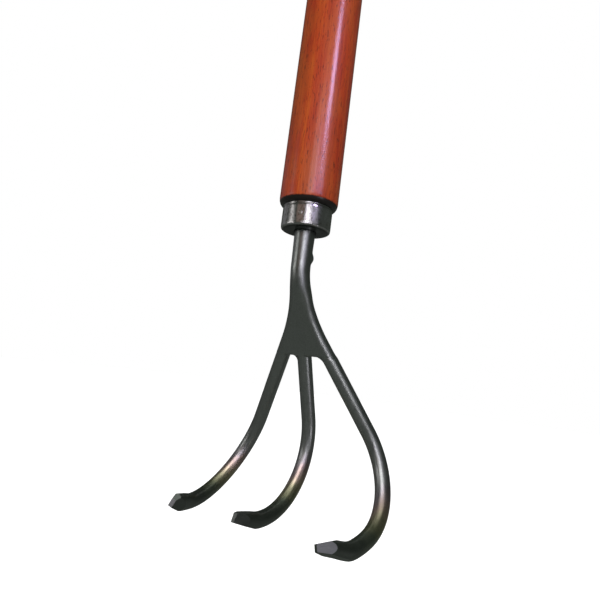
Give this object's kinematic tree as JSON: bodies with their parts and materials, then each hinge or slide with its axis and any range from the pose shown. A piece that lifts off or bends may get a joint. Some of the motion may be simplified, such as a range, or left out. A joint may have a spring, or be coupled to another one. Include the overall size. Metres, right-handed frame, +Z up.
{
  "type": "three-tine hand cultivator",
  "caption": "Hand cultivator: forged steel tines fan out from a flat web and hook forward to ground chisel feet, on a round wooden handle with a plated ferrule.",
  "frame": {"origin": "on the handle's axis, where its full-round wall begins just above the ferrule", "axes": "+Z up the handle's axis to its free end, -Y to the front where the tines hook to, X across the tines"},
  "size_m": [0.095, 0.0574, 0.5285],
  "materials": {
    "wood": "red-brown stain under gloss lacquer",
    "ferrule_plate": "bright plated, slightly dulled",
    "pin_steel": "bright",
    "forged_steel": "dark greenish-grey forge skin with temper colours at the hooks"
  },
  "bodies": {
    "root": {"handle": "wood", "ferrule": "ferrule_plate", "ferrule_pin": "pin_steel", "shank": "forged_steel", "web_plate": "forged_steel", "left_tine": "forged_steel", "centre_tine": "forged_steel", "right_tine": "forged_steel"}
  },
  "joints": []
}
